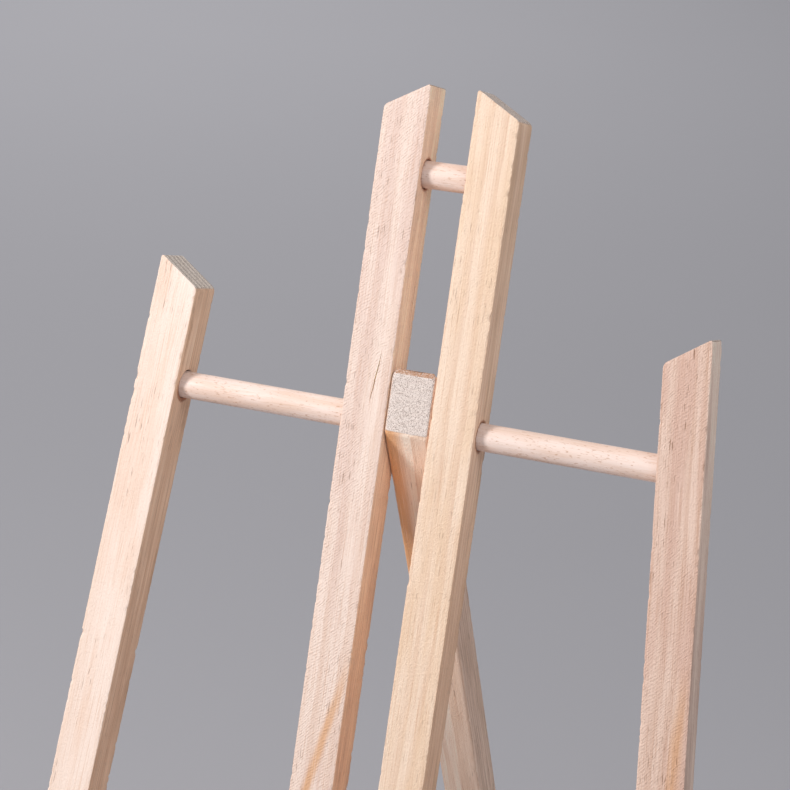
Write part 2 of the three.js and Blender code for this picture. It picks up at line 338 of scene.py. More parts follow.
def screw_recess(bm, place, x, z):
    """The countersink of a screw driven in from the back face until its head is flush."""
    turn = Matrix.Rotation(math.radians(90), 4, "X")
    profile = [(0, -1 * mm), (SCREW_HEAD, -1 * mm), (SCREW_HEAD, 0), (SCREW_SHANK, SCREW_SINK),
               (0, SCREW_SINK)]
    turned(bm, profile, place @ Matrix.Translation((x, STICK / 2, z)) @ turn, 32)


def drying_crack(bm, place, top, bottom, width, depth):
    """A thin crack that opened along the grain as the wood dried, deepest in the middle."""
    crack = bmesh.new()
    bmesh.ops.create_cube(crack, size=1)
    bmesh.ops.subdivide_edges(crack, edges=crack.edges, cuts=9, use_grid_fill=True)
    line = bottom - top
    for vert in crack.verts:
        way = vert.co.z + 0.5
        open_here = math.sin(math.pi * way) ** 0.7
        wander = 0.25 * mm * noise.noise((way * 6, 1.5, 0.5))
        x = top.x + line.x * (1 - way) + vert.co.x * width * open_here + wander
        y = -STICK / 2 + (vert.co.y + 0.3) * depth * (0.4 + open_here)
        vert.co = (x, y, top.z + line.z * (1 - way))
    bmesh.ops.transform(crack, matrix=place, verts=crack.verts)
    bmesh.ops.recalc_face_normals(crack, faces=crack.faces)
    spare = bpy.data.meshes.new("spare")
    crack.to_mesh(spare)
    crack.free()
    bm.from_mesh(spare)
    bpy.data.meshes.remove(spare)


def new_piece(name, bm, node, body, material, cutter=None):
    """Makes the piece's object, cuts its holes, and hands it to the frame in place of its CAD node."""
    mesh = bpy.data.meshes.new(name)
    bm.to_mesh(mesh)
    bm.free()
    piece = bpy.data.objects.new(name, mesh)
    scene.collection.objects.link(piece)
    if cutter is not None:
        tool_mesh = bpy.data.meshes.new("tool")
        cutter.to_mesh(tool_mesh)
        cutter.free()
        tool = bpy.data.objects.new("tool", tool_mesh)
        scene.collection.objects.link(tool)
        cut = piece.modifiers.new("holes", "BOOLEAN")
        cut.object = tool
        cut.operation = "DIFFERENCE"
        cut.solver = "EXACT"
        result = piece.evaluated_get(bpy.context.evaluated_depsgraph_get())
        drilled = bpy.data.meshes.new_from_object(result)
        piece.modifiers.clear()
        piece.data = drilled
        bpy.data.meshes.remove(mesh)
        bpy.data.objects.remove(tool)
        bpy.data.meshes.remove(tool_mesh)
        mesh = drilled
        mesh.name = name
    mesh.shade_smooth()
    mesh.set_sharp_from_angle(angle=CREASE)
    mesh.materials.clear()
    mesh.materials.append(material)
    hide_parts(node)
    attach(piece, body)


def calc(tree, operation, *values):
    """A Math node's result."""
    return put(tree, "ShaderNodeMath", dict(enumerate(values)), operation=operation).outputs[0]


def hypotenuse(tree, across, up):
    squares = calc(tree, "ADD", calc(tree, "MULTIPLY", across, across), calc(tree, "MULTIPLY", up, up))
    return calc(tree, "SQRT", squares)


def stretch(tree, vector, across, along):
    """Millimetres to noise cells: so many cells a millimetre across the grain and along it."""
    inputs = {0: vector, 1: (across, across, along)}
    return put(tree, "ShaderNodeVectorMath", inputs, operation="MULTIPLY").outputs[0]


def ramp(tree, value, low, high, bottom=0.0, top=1.0):
    """A smooth step from bottom to top as the value goes from low to high."""
    inputs = {"Value": value, "From Min": low, "From Max": high, "To Min": bottom, "To Max": top}
    return put(tree, "ShaderNodeMapRange", inputs, interpolation_type="SMOOTHSTEP").outputs["Result"]


def speckle(tree, vector, seed, detail=2.0, rough=0.5):
    inputs = {"Vector": vector, "W": seed, "Scale": 1.0, "Detail": detail, "Roughness": rough}
    return put(tree, "ShaderNodeTexNoise", inputs, noise_dimensions="4D").outputs["Fac"]


def blend(tree, mask, first, second, mode="MIX"):
    """Two colours mixed by a mask."""
    node = put(tree, "ShaderNodeMix", {0: mask, 6: first, 7: second}, data_type="RGBA", blend_type=mode)
    return node.outputs[2]


def node_group(name, inputs, outputs):
    """An empty group with named sockets. Returns it with the sockets to read and the ones to fill."""
    group = bpy.data.node_groups.new(name, "ShaderNodeTree")
    for label, kind, value in inputs:
        socket = group.interface.new_socket(label, in_out="INPUT", socket_type="NodeSocket" + kind)
        if kind == "Float":
            socket.default_value = value
    for label in outputs:
        group.interface.new_socket(label, in_out="OUTPUT", socket_type="NodeSocketFloat")
    return group, group.nodes.new("NodeGroupInput").outputs, group.nodes.new("NodeGroupOutput").inputs


rings_group, given, out = node_group(
    "growth_rings",
    [("Place", "Vector", None), ("Pith X", "Float", 0.0), ("Pith Y", "Float", 60.0),
     ("Ring Width", "Float", 1.4), ("Drift", "Float", 0.01), ("Wander", "Float", 2.0),
     ("Seed", "Float", 0.0)],
    ["Latewood", "Ring Tone"])
t = rings_group
axes = put(t, "ShaderNodeSeparateXYZ", {0: given["Place"]}).outputs
slow = speckle(t, stretch(t, given["Place"], 0.02, 0.0065), given["Seed"], 1.0)
quick = speckle(t, stretch(t, given["Place"], 0.35, 0.02), given["Seed"], 2.0)
sway = calc(t, "MULTIPLY", calc(t, "SUBTRACT", slow, 0.5), calc(t, "MULTIPLY", given["Wander"], 4.0))
ragged = calc(t, "MULTIPLY", calc(t, "SUBTRACT", quick, 0.5), 0.9)
leaning = calc(t, "MULTIPLY", axes[2], given["Drift"])
from_pith_x = calc(t, "SUBTRACT", calc(t, "SUBTRACT", axes[0], given["Pith X"]), leaning)
from_pith_x = calc(t, "ADD", from_pith_x, sway)
from_pith_y = calc(t, "SUBTRACT", axes[1], given["Pith Y"])
from_pith = hypotenuse(t, from_pith_x, from_pith_y)
years = calc(t, "DIVIDE", calc(t, "ADD", from_pith, ragged), given["Ring Width"])
season = calc(t, "FRACT", years)
rise = ramp(t, season, 0.30, 0.90)
fall = ramp(t, season, 0.93, 1.0, 1.0, 0.0)
year = calc(t, "FLOOR", years)
year = put(t, "ShaderNodeTexWhiteNoise", {"W": year}, noise_dimensions="1D").outputs["Value"]
t.links.new(calc(t, "MULTIPLY", rise, fall), out["Latewood"])
t.links.new(year, out["Ring Tone"])

fibre_group, given, out = node_group(
    "wood_fibre", [("Place", "Vector", None), ("Seed", "Float", 0.0)],
    ["Streaks", "Dashes", "Mottle", "Fibre Height", "Torn"])
t = fibre_group
streaks = speckle(t, stretch(t, given["Place"], 1.9, 0.03), given["Seed"], 3.0, 0.6)
fine = speckle(t, stretch(t, given["Place"], 3.6, 0.16), given["Seed"], 2.0, 0.6)
dash_field = speckle(t, stretch(t, given["Place"], 1.7, 0.13), given["Seed"], 1.0, 0.4)
dash_patch = speckle(t, stretch(t, given["Place"], 0.11, 0.02), given["Seed"], 1.0)
mottle = speckle(t, stretch(t, given["Place"], 0.14, 0.016), given["Seed"], 2.0)
dashes = calc(t, "MULTIPLY", ramp(t, dash_field, 0.63, 0.72), ramp(t, dash_patch, 0.38, 0.62))
torn = speckle(t, stretch(t, given["Place"], 1.7, 0.75), given["Seed"], 3.0, 0.6)
t.links.new(torn, out["Torn"])
t.links.new(streaks, out["Streaks"])
t.links.new(dashes, out["Dashes"])
t.links.new(mottle, out["Mottle"])
fibre_height = calc(t, "ADD", calc(t, "MULTIPLY", streaks, 0.5), calc(t, "MULTIPLY", fine, 0.5))
t.links.new(fibre_height, out["Fibre Height"])

chatter_group, given, out = node_group(
    "saw_chatter",
    [("Place", "Vector", None), ("Pitch", "Float", 1.2), ("Slant", "Float", 0.8), ("Cover", "Float", 0.5),
     ("Seed", "Float", 0.0)],
    ["Lines"])
t = chatter_group
axes = put(t, "ShaderNodeSeparateXYZ", {0: given["Place"]}).outputs
across = calc(t, "ADD", axes[0], axes[1])
wobble = speckle(t, stretch(t, given["Place"], 0.09, 0.05), given["Seed"], 2.0)
travel = calc(t, "SUBTRACT", calc(t, "MULTIPLY", axes[2], given["Slant"]), calc(t, "MULTIPLY", across, 0.75))
travel = calc(t, "ADD", travel, calc(t, "MULTIPLY", wobble, 5.0))
beat = calc(t, "SINE", calc(t, "DIVIDE", calc(t, "MULTIPLY", travel, math.tau), given["Pitch"]))
tear = speckle(t, stretch(t, given["Place"], 0.9, 0.5), given["Seed"], 2.0)
patch = speckle(t, stretch(t, given["Place"], 0.05, 0.02), given["Seed"], 1.0)
cover = ramp(t, calc(t, "ADD", patch, calc(t, "SUBTRACT", given["Cover"], 0.5)), 0.38, 0.62)
lines = calc(t, "MULTIPLY", calc(t, "MULTIPLY_ADD", beat, 0.5, 0.5), ramp(t, tear, 0.38, 0.62))
t.links.new(calc(t, "MULTIPLY", lines, cover), out["Lines"])

streak_group, given, out = node_group(
    "pitch_and_shade_streak",
    [("Place", "Vector", None), ("At Level", "Float", 0.0), ("At X", "Float", 0.0), ("Drift", "Float", 0.0),
     ("Width", "Float", 3.0), ("Upper End", "Float", 0.0), ("Lower End", "Float", -1000.0),
     ("Seed", "Float", 0.0)],
    ["Streak"])
t = streak_group
axes = put(t, "ShaderNodeSeparateXYZ", {0: given["Place"]}).outputs
from_level = calc(t, "SUBTRACT", axes[2], given["At Level"])
line_x = calc(t, "MULTIPLY_ADD", from_level, given["Drift"], given["At X"])
feather = speckle(t, stretch(t, given["Place"], 0.8, 0.035), given["Seed"], 3.0)
feather = calc(t, "MULTIPLY", calc(t, "SUBTRACT", feather, 0.5), 3.0)
offset = calc(t, "ADD", calc(t, "SUBTRACT", axes[0], line_x), feather)
band = ramp(t, calc(t, "DIVIDE", calc(t, "ABSOLUTE", offset), given["Width"]), 0.15, 1.0, 1.0, 0.0)
reach = ramp(t, calc(t, "SUBTRACT", axes[2], given["Upper End"]), -45.0, 0.0, 1.0, 0.0)
below = ramp(t, calc(t, "SUBTRACT", axes[2], given["Lower End"]), 0.0, 60.0)
t.links.new(calc(t, "MULTIPLY", calc(t, "MULTIPLY", band, reach), below), out["Streak"])

# A ring round a bore on the side where it opens: painted shade of the gap round the dowel, together with the
# darkened torn rim.
stain_shade_group, given, out = node_group(
    "bore_stain_and_shade",
    [("Place", "Vector", None), ("Level", "Float", 0.0), ("Side", "Float", 1.0), ("Seed", "Float", 0.0)],
    ["Stain"])
t = stain_shade_group
axes = put(t, "ShaderNodeSeparateXYZ", {0: given["Place"]}).outputs
rise = calc(t, "SUBTRACT", axes[2], given["Level"])
from_bore = hypotenuse(t, rise, axes[1])
uneven = speckle(t, stretch(t, given["Place"], 0.7, 0.7), given["Seed"], 2.0)
from_bore = calc(t, "ADD", from_bore, calc(t, "MULTIPLY", calc(t, "SUBTRACT", uneven, 0.5), 1.6))
ring = ramp(t, from_bore, 6.6, 7.9, 1.0, 0.0)
on_side = calc(t, "GREATER_THAN", calc(t, "MULTIPLY", axes[0], given["Side"]), 0.0)
t.links.new(calc(t, "MULTIPLY", ring, on_side), out["Stain"])

end_group, given, out = node_group(
    "end_grain", [("Place", "Vector", None), ("Latewood", "Float", 0.0), ("Seed", "Float", 0.0)],
    ["Shade", "Pores", "Height"])
t = end_group
pores = speckle(t, stretch(t, given["Place"], 1.9, 1.9), given["Seed"], 2.0, 0.75)
fuzz = speckle(t, stretch(t, given["Place"], 0.7, 0.7), given["Seed"], 3.0, 0.7)
layers = calc(t, "MULTIPLY", given["Latewood"], ramp(t, fuzz, 0.2, 0.6, 0.45, 1.0))
t.links.new(layers, out["Shade"])
t.links.new(ramp(t, pores, 0.47, 0.62), out["Pores"])
t.links.new(calc(t, "ADD", calc(t, "MULTIPLY", pores, 0.6), calc(t, "MULTIPLY", fuzz, 0.6)), out["Height"])


def shade(red, green, blue):
    """A colour named on the 0 to 255 scale of a paint chart, as the light it reflects."""
    parts = []
    for part in (red, green, blue):
        level = part / 255
        parts.append(level / 12.92 if level <= 0.04045 else ((level + 0.055) / 1.055) ** 2.4)
    return (*parts, 1)


def own_place(tree, place):
    """Object coordinates turned into millimetres in the piece's own frame."""
    spot = put(tree, "ShaderNodeTexCoord")
    inputs = {"Vector": spot.outputs["Object"], "Location": place.to_translation(),
              "Rotation": place.to_euler(), "Scale": (mm, mm, mm)}
    return put(tree, "ShaderNodeMapping", inputs, vector_type="TEXTURE").outputs[0], spot.outputs["Normal"]


def dot(tree, vector, way):
    return put(tree, "ShaderNodeVectorMath", {0: vector, 1: way}, operation="DOT_PRODUCT").outputs["Value"]


def pine(name, place, seed, pith, ring_width, drift, wander, early, late, ring_depth=0.5, dash=0.45,
         chatter=0.5, cover=0.5, relief=0.5, streak=None, tone=(0.92, 0.80, 0.68), face=(1, 1.1, 1.2),
         flank=(1, 1, 1), low_flank_shade=(1, 1, 1), end_tone=(150, 128, 112), end_pale=(222, 202, 188),
         end_rings=0.75, crest=None, side_grain=0.9, bores=((0.0, 1), (0.0, -1))):
    """Raw planed pine: growth rings about a pith outside the stick, fibre streaks, resin dashes,
    saw chatter, grey open end grain and paler bruised arrises. The face, flank and low flank tints are
    painted light: the front and back faces paler and whiter, the sides lighter, and painted shade that
    darkens the sides lower down. Places are in millimetres in the stick's own frame. A streak has its
    level, x, slope, width, upper end, strength and lower end, and each bore has its level and the side
    it opens on; round it a dark brown ring is painted, partly shade and partly darkened torn rim."""
    material = bpy.data.materials.new(name)
    material.use_nodes = True
    tree = material.node_tree
    shader = tree.nodes["Principled BSDF"]
    spot, normal = own_place(tree, place)

    def use(group, **inputs):
        node = put(tree, "ShaderNodeGroup", node_tree=group)
        for label, value in inputs.items():
            label = label.replace("_", " ")
            if isinstance(value, bpy.types.NodeSocket):
                tree.links.new(value, node.inputs[label])
            else:
                node.inputs[label].default_value = value
        return node.outputs

    rings = use(rings_group, Place=spot, Pith_X=pith[0], Pith_Y=pith[1], Ring_Width=ring_width,
                Drift=drift, Wander=wander, Seed=seed)
    fibre = use(fibre_group, Place=spot, Seed=seed)
    lines = use(chatter_group, Place=spot, Cover=cover, Seed=seed)["Lines"]
    ends = use(end_group, Place=spot, Latewood=rings["Latewood"], Seed=seed)

    face_way = place.to_3x3() @ Vector((0, 1, 0))
    on_face = ramp(tree, calc(tree, "ABSOLUTE", dot(tree, normal, face_way)), 0.55, 0.80)
    depth = calc(tree, "MULTIPLY_ADD", rings["Ring Tone"], 0.7, 0.4)
    depth = calc(tree, "MULTIPLY", rings["Latewood"], depth)
    colour = blend(tree, calc(tree, "MULTIPLY", depth, ring_depth), early, late)
    toned = [channel * factor for channel, factor in zip(early, tone)] + [1]
    colour = blend(tree, ramp(tree, fibre["Mottle"], 0.40, 0.66, 0.0, 0.8), colour, toned)
    # An orange-brown streak: resin in the wood, and on the rear leg mostly painted shade where the left
    # upright's shadow falls.
    if streak:
        at_level, at_x, lean, width, upper_end, strength, lower_end = streak
        resin_and_shade = use(streak_group, Place=spot, At_Level=at_level, At_X=at_x, Drift=lean, Width=width,
                    Upper_End=upper_end, Lower_End=lower_end, Seed=seed)["Streak"]
        resin_and_shade = calc(tree, "MULTIPLY", resin_and_shade, calc(tree, "MULTIPLY_ADD", on_face, 0.85, 0.15))
        colour = blend(tree, calc(tree, "MULTIPLY", resin_and_shade, strength), colour, shade(214, 150, 98))
    colour = blend(tree, ramp(tree, fibre["Streaks"], 0.49, 0.70, 0.0, 0.55), colour, late)
    pale = [min(1.0, channel * 1.10 + 0.03) for channel in early[:3]] + [1]
    colour = blend(tree, ramp(tree, fibre["Streaks"], 0.46, 0.28, 0.0, 0.5), colour, pale)
    colour = blend(tree, calc(tree, "MULTIPLY", fibre["Dashes"], dash), colour, shade(138, 92, 62))
    colour = blend(tree, calc(tree, "MULTIPLY", lines, chatter * 0.22), colour, late)
    colour = blend(tree, ramp(tree, fibre["Torn"], 0.56, 0.74, 0.0, 0.45), colour, late)

    grain_way = place.to_3x3() @ Vector((0, 0, 1))
    facing = dot(tree, normal, grain_way)
    on_end = ramp(tree, calc(tree, "ABSOLUTE", facing), 0.42, 0.60)
    end_layers = calc(tree, "MULTIPLY", ends["Shade"], end_rings)
    end_colour = blend(tree, end_layers, shade(*end_pale), shade(*end_tone))
    end_colour = blend(tree, calc(tree, "MULTIPLY", ends["Pores"], 0.7), end_colour, shade(128, 104, 92))
    if crest:
        sawn_square = ramp(tree, calc(tree, "ABSOLUTE", facing), 0.78, 0.95)
        split = calc(tree, "MULTIPLY", sawn_square, ramp(tree, fibre["Torn"], 0.36, 0.56, 0.25, 0.95))
        end_colour = blend(tree, split, end_colour, shade(*crest))
    colour = blend(tree, on_end, colour, end_colour)

    # Painted light: the front and back faces take the face tint, paler and whiter where the key light falls,
    # the sides take the flank tint in place of light reflected onto them, and lower down the sides darken
    # with painted shade.
    levels = put(tree, "ShaderNodeSeparateXYZ", {0: spot}).outputs
    lower = ramp(tree, levels[2], -110.0, 30.0, 1.0, 0.0)
    flank_light_tint = blend(tree, lower, (*flank, 1), tuple(a * b for a, b in zip(flank, low_flank_shade)) + (1,))
    tint = blend(tree, on_face, flank_light_tint, (*face, 1))
    tint = blend(tree, on_end, tint, (1, 1, 1, 1))
    colour = blend(tree, 1.0, colour, tint, "MULTIPLY")
    off_face = calc(tree, "SUBTRACT", 1.0, on_face)
    mottled = calc(tree, "MULTIPLY", calc(tree, "SUBTRACT", fibre["Mottle"], 0.5), 0.5)
    uneven = calc(tree, "ADD", calc(tree, "SUBTRACT", fibre["Streaks"], 0.5), mottled)
    on_flank = calc(tree, "SUBTRACT", off_face, calc(tree, "MULTIPLY", on_end, off_face))
    strength = calc(tree, "MULTIPLY", on_flank, side_grain)
    contrast = calc(tree, "SUBTRACT", 1.0, calc(tree, "MULTIPLY", uneven, strength))
    contrast = put(tree, "ShaderNodeCombineColor", {0: contrast, 1: contrast, 2: contrast}).outputs[0]
    colour = blend(tree, 1.0, colour, contrast, "MULTIPLY")
    # Painted shade: a dark brown ring round each bore where the dowel enters, with some darkening of the torn
    # rim.
    for level, bored_side in bores:
        stain_and_shade = use(stain_shade_group, Place=spot, Level=level, Side=bored_side, Seed=seed)["Stain"]
        colour = blend(tree, calc(tree, "MULTIPLY", calc(tree, "MULTIPLY", stain_and_shade, off_face), 0.85), colour,
                       shade(160, 98, 64))
    arris = put(tree, "ShaderNodeAttribute", attribute_name="arris").outputs["Fac"]
    bruised = calc(tree, "MULTIPLY", ramp(tree, arris, 0.62, 0.95), ramp(tree, fibre["Streaks"], 0.4, 0.6))
    colour = blend(tree, calc(tree, "MULTIPLY", bruised, 0.5), colour, pale)
    within_white = put(tree, "ShaderNodeMix", {0: 0.0, 6: colour, 7: colour}, data_type="RGBA",
                       clamp_result=True)
    colour = within_white.outputs[2]
    tree.links.new(colour, shader.inputs["Base Color"])

    rough = calc(tree, "MULTIPLY_ADD", fibre["Streaks"], 0.2, 0.50)
    rough = calc(tree, "MAXIMUM", rough, calc(tree, "MULTIPLY", on_end, 0.85))
    tree.links.new(rough, shader.inputs["Roughness"])
    shader.inputs["Specular IOR Level"].default_value = 0.45
    ridges = calc(tree, "MULTIPLY", lines, chatter * 0.12)
    height = calc(tree, "MULTIPLY_ADD", fibre["Fibre Height"], 0.16, ridges)
    height = calc(tree, "MULTIPLY_ADD", fibre["Torn"], relief, height)
    height = calc(tree, "SUBTRACT", height, calc(tree, "MULTIPLY", fibre["Dashes"], 0.10))
    end_height = calc(tree, "MULTIPLY", on_end, calc(tree, "MULTIPLY", ends["Height"], 0.6))
    height = calc(tree, "ADD", height, end_height)
    bump = put(tree, "ShaderNodeBump", {"Height": height, "Strength": 1.0, "Distance": mm})
    tree.links.new(bump.outputs["Normal"], shader.inputs["Normal"])
    return material


# The face, flank and low flank tints are painted light: paler, whiter fronts and lighter sides, with painted
# shade darkening the lower sides.
UPRIGHT_PINE = {
    "left": dict(seed=3.0, pith=(22, 66), ring_width=2.6, drift=0.006, wander=2.5,
                 early=shade(236, 202, 180), late=shade(200, 148, 116), ring_depth=0.35, dash=0.6,
                 chatter=1.1, cover=0.66, relief=0.38, streak=(-110, 8.6, 0.20, 3.2, -92, 0.8, -330),
                 tone=(0.88, 0.82, 0.82),
                 face=(1.0, 1.15, 1.30), flank=(1.22, 1.36, 1.34), low_flank_shade=(0.86, 0.74, 0.66),
                 bores=((0.0, 1), (0.0, -1), (107.0, 1), (-330.0, 1), (-330.0, -1))),
    "right": dict(seed=8.0, pith=(-34, 60), ring_width=3.1, drift=0.004, wander=1.5,
                  early=shade(240, 205, 175), late=shade(208, 156, 118), ring_depth=0.45, dash=0.35,
                  chatter=0.4, cover=0.45, tone=(0.92, 0.85, 0.76), face=(0.98, 1.09, 1.22),
                  flank=(1.06, 1.08, 1.13), low_flank_shade=(0.92, 0.88, 0.84), end_tone=(176, 156, 143),
                  end_pale=(242, 226, 214), end_rings=0.85,
                  bores=((0.0, 1), (0.0, -1), (107.0, -1), (-330.0, 1), (-330.0, -1))),
}

for side, hand in ((-1, "left"), (1, "right")):
    place = front_place @ Matrix.Translation((side * (SLOT_HALF + STICK / 2), 0, 0))
    calm = (UPRIGHT_FOOT + SQUARE_MARGIN, UPRIGHT_PEAK - SLANT_MARGIN)
    bm = milled_stick(STICK, STICK, UPRIGHT_FOOT, UPRIGHT_PEAK + STICK, calm,
                      [slant_cut(-side * STICK / 2, UPRIGHT_PEAK)], OUTLINE_CORNER, 1 + side)
    bmesh.ops.transform(bm, matrix=place, verts=bm.verts)
    cutter = bmesh.new()
    for level in (0, RUNG_HEIGHT):
        drill(cutter, place @ Matrix.Translation((0, 0, level)), -STICK / 2, STICK / 2)
    spacer_line = place @ Matrix.Translation((0, 0, SPACER_HEIGHT))
    drill(cutter, spacer_line, -side * STICK / 2, side * (BLIND_BORE - STICK / 2))
    brad_recess(cutter, place, 0, 0)
    brad_recess(cutter, place, 0, RUNG_HEIGHT)
    brad_recess(cutter, place, -side * SPACER_BRAD_ASIDE, SPACER_HEIGHT)
    screw_recess(cutter, place, 0, LEDGE_HEIGHT)
    if hand == "left":
        drying_crack(cutter, place, CRACK_TOP, CRACK_FOOT, CRACK_WIDTH, CRACK_DEPTH)
    new_piece(f"{hand}_upright_stick", bm, f"{hand}_centre_upright", "front_frame",
              pine(f"{hand}_upright_pine", place, **UPRIGHT_PINE[hand]), cutter)


# ---------------------------------------------------------------- outer legs
# Two splayed pine legs beside the uprights, slanted at the top and cut level where they stand.
# They are drilled from the inside only, so that the dowel ends don't show.

LEG_OFFSET = 119.5 * mm
LEG_PEAK = 56.2 * mm
BELOW_FLOOR = -495 * mm
PLAIN_FROM = -466 * mm
LEG_SCREW = 145.38 * mm
LEG_BRADS = ((114.96 * mm, 0), (144.41 * mm, RUNG_HEIGHT))
LEG_SPLINTER = {"left": (-1, -1, -119.2, 3.0), "right": None}
# As for the uprights, the face, flank and low flank tints are painted light and shade; the right leg's side
# is lightened and greyed as a painted reflection of the grey surround.
LEG_PINE = {
    "left": dict(seed=14.0, pith=(6, 84), ring_width=4.2, drift=0.002, wander=1.6,
                 early=shade(244, 212, 184), late=shade(210, 160, 120), ring_depth=0.5, dash=0.6,
                 chatter=0.25, cover=0.35, relief=0.35, tone=(0.94, 0.86, 0.80), face=(0.96, 1.08, 1.30),
                 flank=(1.0, 0.99, 1.0), low_flank_shade=(0.88, 0.87, 0.87), end_tone=(186, 169, 157),
                 end_pale=(250, 238, 226), end_rings=0.8, bores=((0.0, 1), (-331.0, 1))),
    "right": dict(seed=21.0, pith=(-26, 52), ring_width=2.3, drift=0.010, wander=2.5,
                  early=shade(228, 190, 168), late=shade(188, 136, 106), ring_depth=0.5, dash=0.9,
                  chatter=0.9, cover=0.62, streak=(-123, 5.0, 0.05, 4.0, -70, 0.6, -300),
                  tone=(0.84, 0.74, 0.72), face=(0.98, 1.09, 1.18), flank=(1.29, 1.58, 1.76),
                  low_flank_shade=(0.85, 0.82, 0.81), bores=((0.0, -1), (-331.0, -1))),
}


def level_cut(place):
    """The cut that stands a stick level on the floor, seen from the stick's own frame."""
    home = place.inverted()
    return home @ Vector((0, 0, 0)), home.to_3x3() @ Vector((0, 0, -1))


for side, hand in ((-1, "left"), (1, "right")):
    splayed = Matrix.Rotation(-side * SPLAY, 4, "Y")
    place = front_place @ Matrix.Translation((side * LEG_OFFSET, 0, 0)) @ splayed
    cuts = [slant_cut(side * STICK / 2, LEG_PEAK), level_cut(place)]
    bm = milled_stick(STICK, STICK, BELOW_FLOOR, LEG_PEAK + STICK, (PLAIN_FROM, LEG_PEAK - SLANT_MARGIN),
                      cuts, OUTLINE_CORNER, 5 + side, splinter=LEG_SPLINTER[hand])
    bmesh.ops.transform(bm, matrix=place, verts=bm.verts)
    cutter = bmesh.new()
    for level in (0, RUNG_HEIGHT):
        inner_face = LEG_OFFSET - STICK / 2 / math.cos(SPLAY) - level * math.tan(SPLAY)
        dowel_line = front_place @ Matrix.Translation((0, 0, level))
        drill(cutter, dowel_line, side * inner_face, side * (inner_face + BLIND_BORE))
    for x, level in LEG_BRADS:
        brad_recess(cutter, front_place, side * x, level)
    screw_recess(cutter, front_place, side * LEG_SCREW, LEDGE_HEIGHT)
    new_piece(f"{hand}_leg_stick", bm, f"{hand}_outer_leg", "front_frame",
              pine(f"{hand}_leg_pine", place, **LEG_PINE[hand]), cutter)


# ---------------------------------------------------------------- rear leg
# One pine stick hung on the pivot dowel between the uprights. Its top is sawn square and then
# bevelled level with the front faces, so that its open end grain shows in the slot.

REAR_SWING = math.radians(21)
REAR_CREST = 23 * mm
REAR_LEVEL = 0.2 * mm
REAR_MARGIN = -14 * mm
REAR_CORNER = 2.7 * mm
REAR_RIM = 1.2 * mm
REAR_EASE = 1.4 * mm
REAR_FOOT = -PIVOT.z / math.cos(REAR_SWING)
CORD_HOLE_ABOVE_FOOT = 170 * mm
CORD_HOLE_RADIUS = 2 * mm

place = Matrix.Translation(PIVOT) @ Matrix.Rotation(REAR_SWING, 4, "X")
home = place.inverted()
front_way = front_place.to_3x3() @ Vector((0, -1, 0))
levelled = (home @ (PIVOT + front_way * (STICK / 2 - REAR_LEVEL)), home.to_3x3() @ front_way)
bm = milled_stick(STICK, STICK, BELOW_FLOOR, REAR_CREST, (PLAIN_FROM, REAR_MARGIN),
                  [levelled, level_cut(place)], REAR_CORNER, 11, rim=REAR_RIM, ease=REAR_EASE,
                  ease_segments=4)
bmesh.ops.transform(bm, matrix=place, verts=bm.verts)
cutter = bmesh.new()
drill(cutter, place, -STICK / 2, STICK / 2)
cord_hole = place @ Matrix.Translation((0, 0, REAR_FOOT + CORD_HOLE_ABOVE_FOOT))
cord_hole = cord_hole @ Matrix.Rotation(math.radians(90), 4, "Z")
drill(cutter, cord_hole, -STICK / 2, STICK / 2, CORD_HOLE_RADIUS)
# On the rear leg the orange-brown streak down the left of the front face is painted shade, the warm dark of
# the left upright's shadow, with some wood tone; its face tint is painted light that brightens the
# downward-facing front.
new_piece("rear_leg_stick", bm, "rear_leg", "rear_leg",
          pine("rear_leg_pine", place, seed=31.0, pith=(8, -40), ring_width=2.2, drift=0.004, wander=2.0,
               early=shade(243, 214, 194), late=shade(200, 150, 116), ring_depth=0.5, dash=0.6,
               chatter=0.4, cover=0.5, streak=(0, -8.0, 0, 7.5, 60, 0.9, -190), tone=(0.94, 0.88, 0.82),
               face=(1.17, 1.26, 1.31), end_tone=(196, 170, 156), end_pale=(234, 220, 212),
               end_rings=0.12, crest=(178, 130, 96)), cutter)


# ---------------------------------------------------------------- dowels
# Three turned hardwood dowels: the pivot that the rear leg swings on, the rung below it,
# and the short spacer that keeps the tops of the uprights apart.

DOWEL_RADIUS = 6 * mm
DOWEL_CHAMFER = 0.6 * mm
DOWEL_SLACK = 0.05 * mm
DOWEL_STEP = 1.6 * mm


def dowel_wood(name, place, seed):
    """Pale close-grained dowel wood with short tan flecks along it."""
    material = bpy.data.materials.new(name)
    material.use_nodes = True
    tree = material.node_tree
    shader = tree.nodes["Principled BSDF"]
    spot = own_place(tree, place)[0]
    flecks = speckle(tree, stretch(tree, spot, 1.6, 0.45), seed, 2.0)
    grain = speckle(tree, stretch(tree, spot, 2.6, 0.08), seed + 1, 3.0)
    tone = speckle(tree, stretch(tree, spot, 0.25, 0.03), seed + 2, 1.0)
    colour = blend(tree, ramp(tree, tone, 0.35, 0.65), shade(233, 212, 202), shade(225, 198, 183))
    colour = blend(tree, ramp(tree, grain, 0.5, 0.75, 0.0, 0.5), colour, shade(206, 166, 134))
    colour = blend(tree, ramp(tree, flecks, 0.58, 0.7, 0.0, 0.65), colour, shade(184, 138, 104))
    tree.links.new(colour, shader.inputs["Base Color"])
    tree.links.new(calc(tree, "MULTIPLY_ADD", grain, 0.2, 0.45), shader.inputs["Roughness"])
    height = calc(tree, "ADD", calc(tree, "MULTIPLY", grain, 0.08), calc(tree, "MULTIPLY", flecks, 0.05))
    bump = put(tree, "ShaderNodeBump", {"Height": height, "Strength": 1.0, "Distance": mm})
    tree.links.new(bump.outputs["Normal"], shader.inputs["Normal"])
    return material


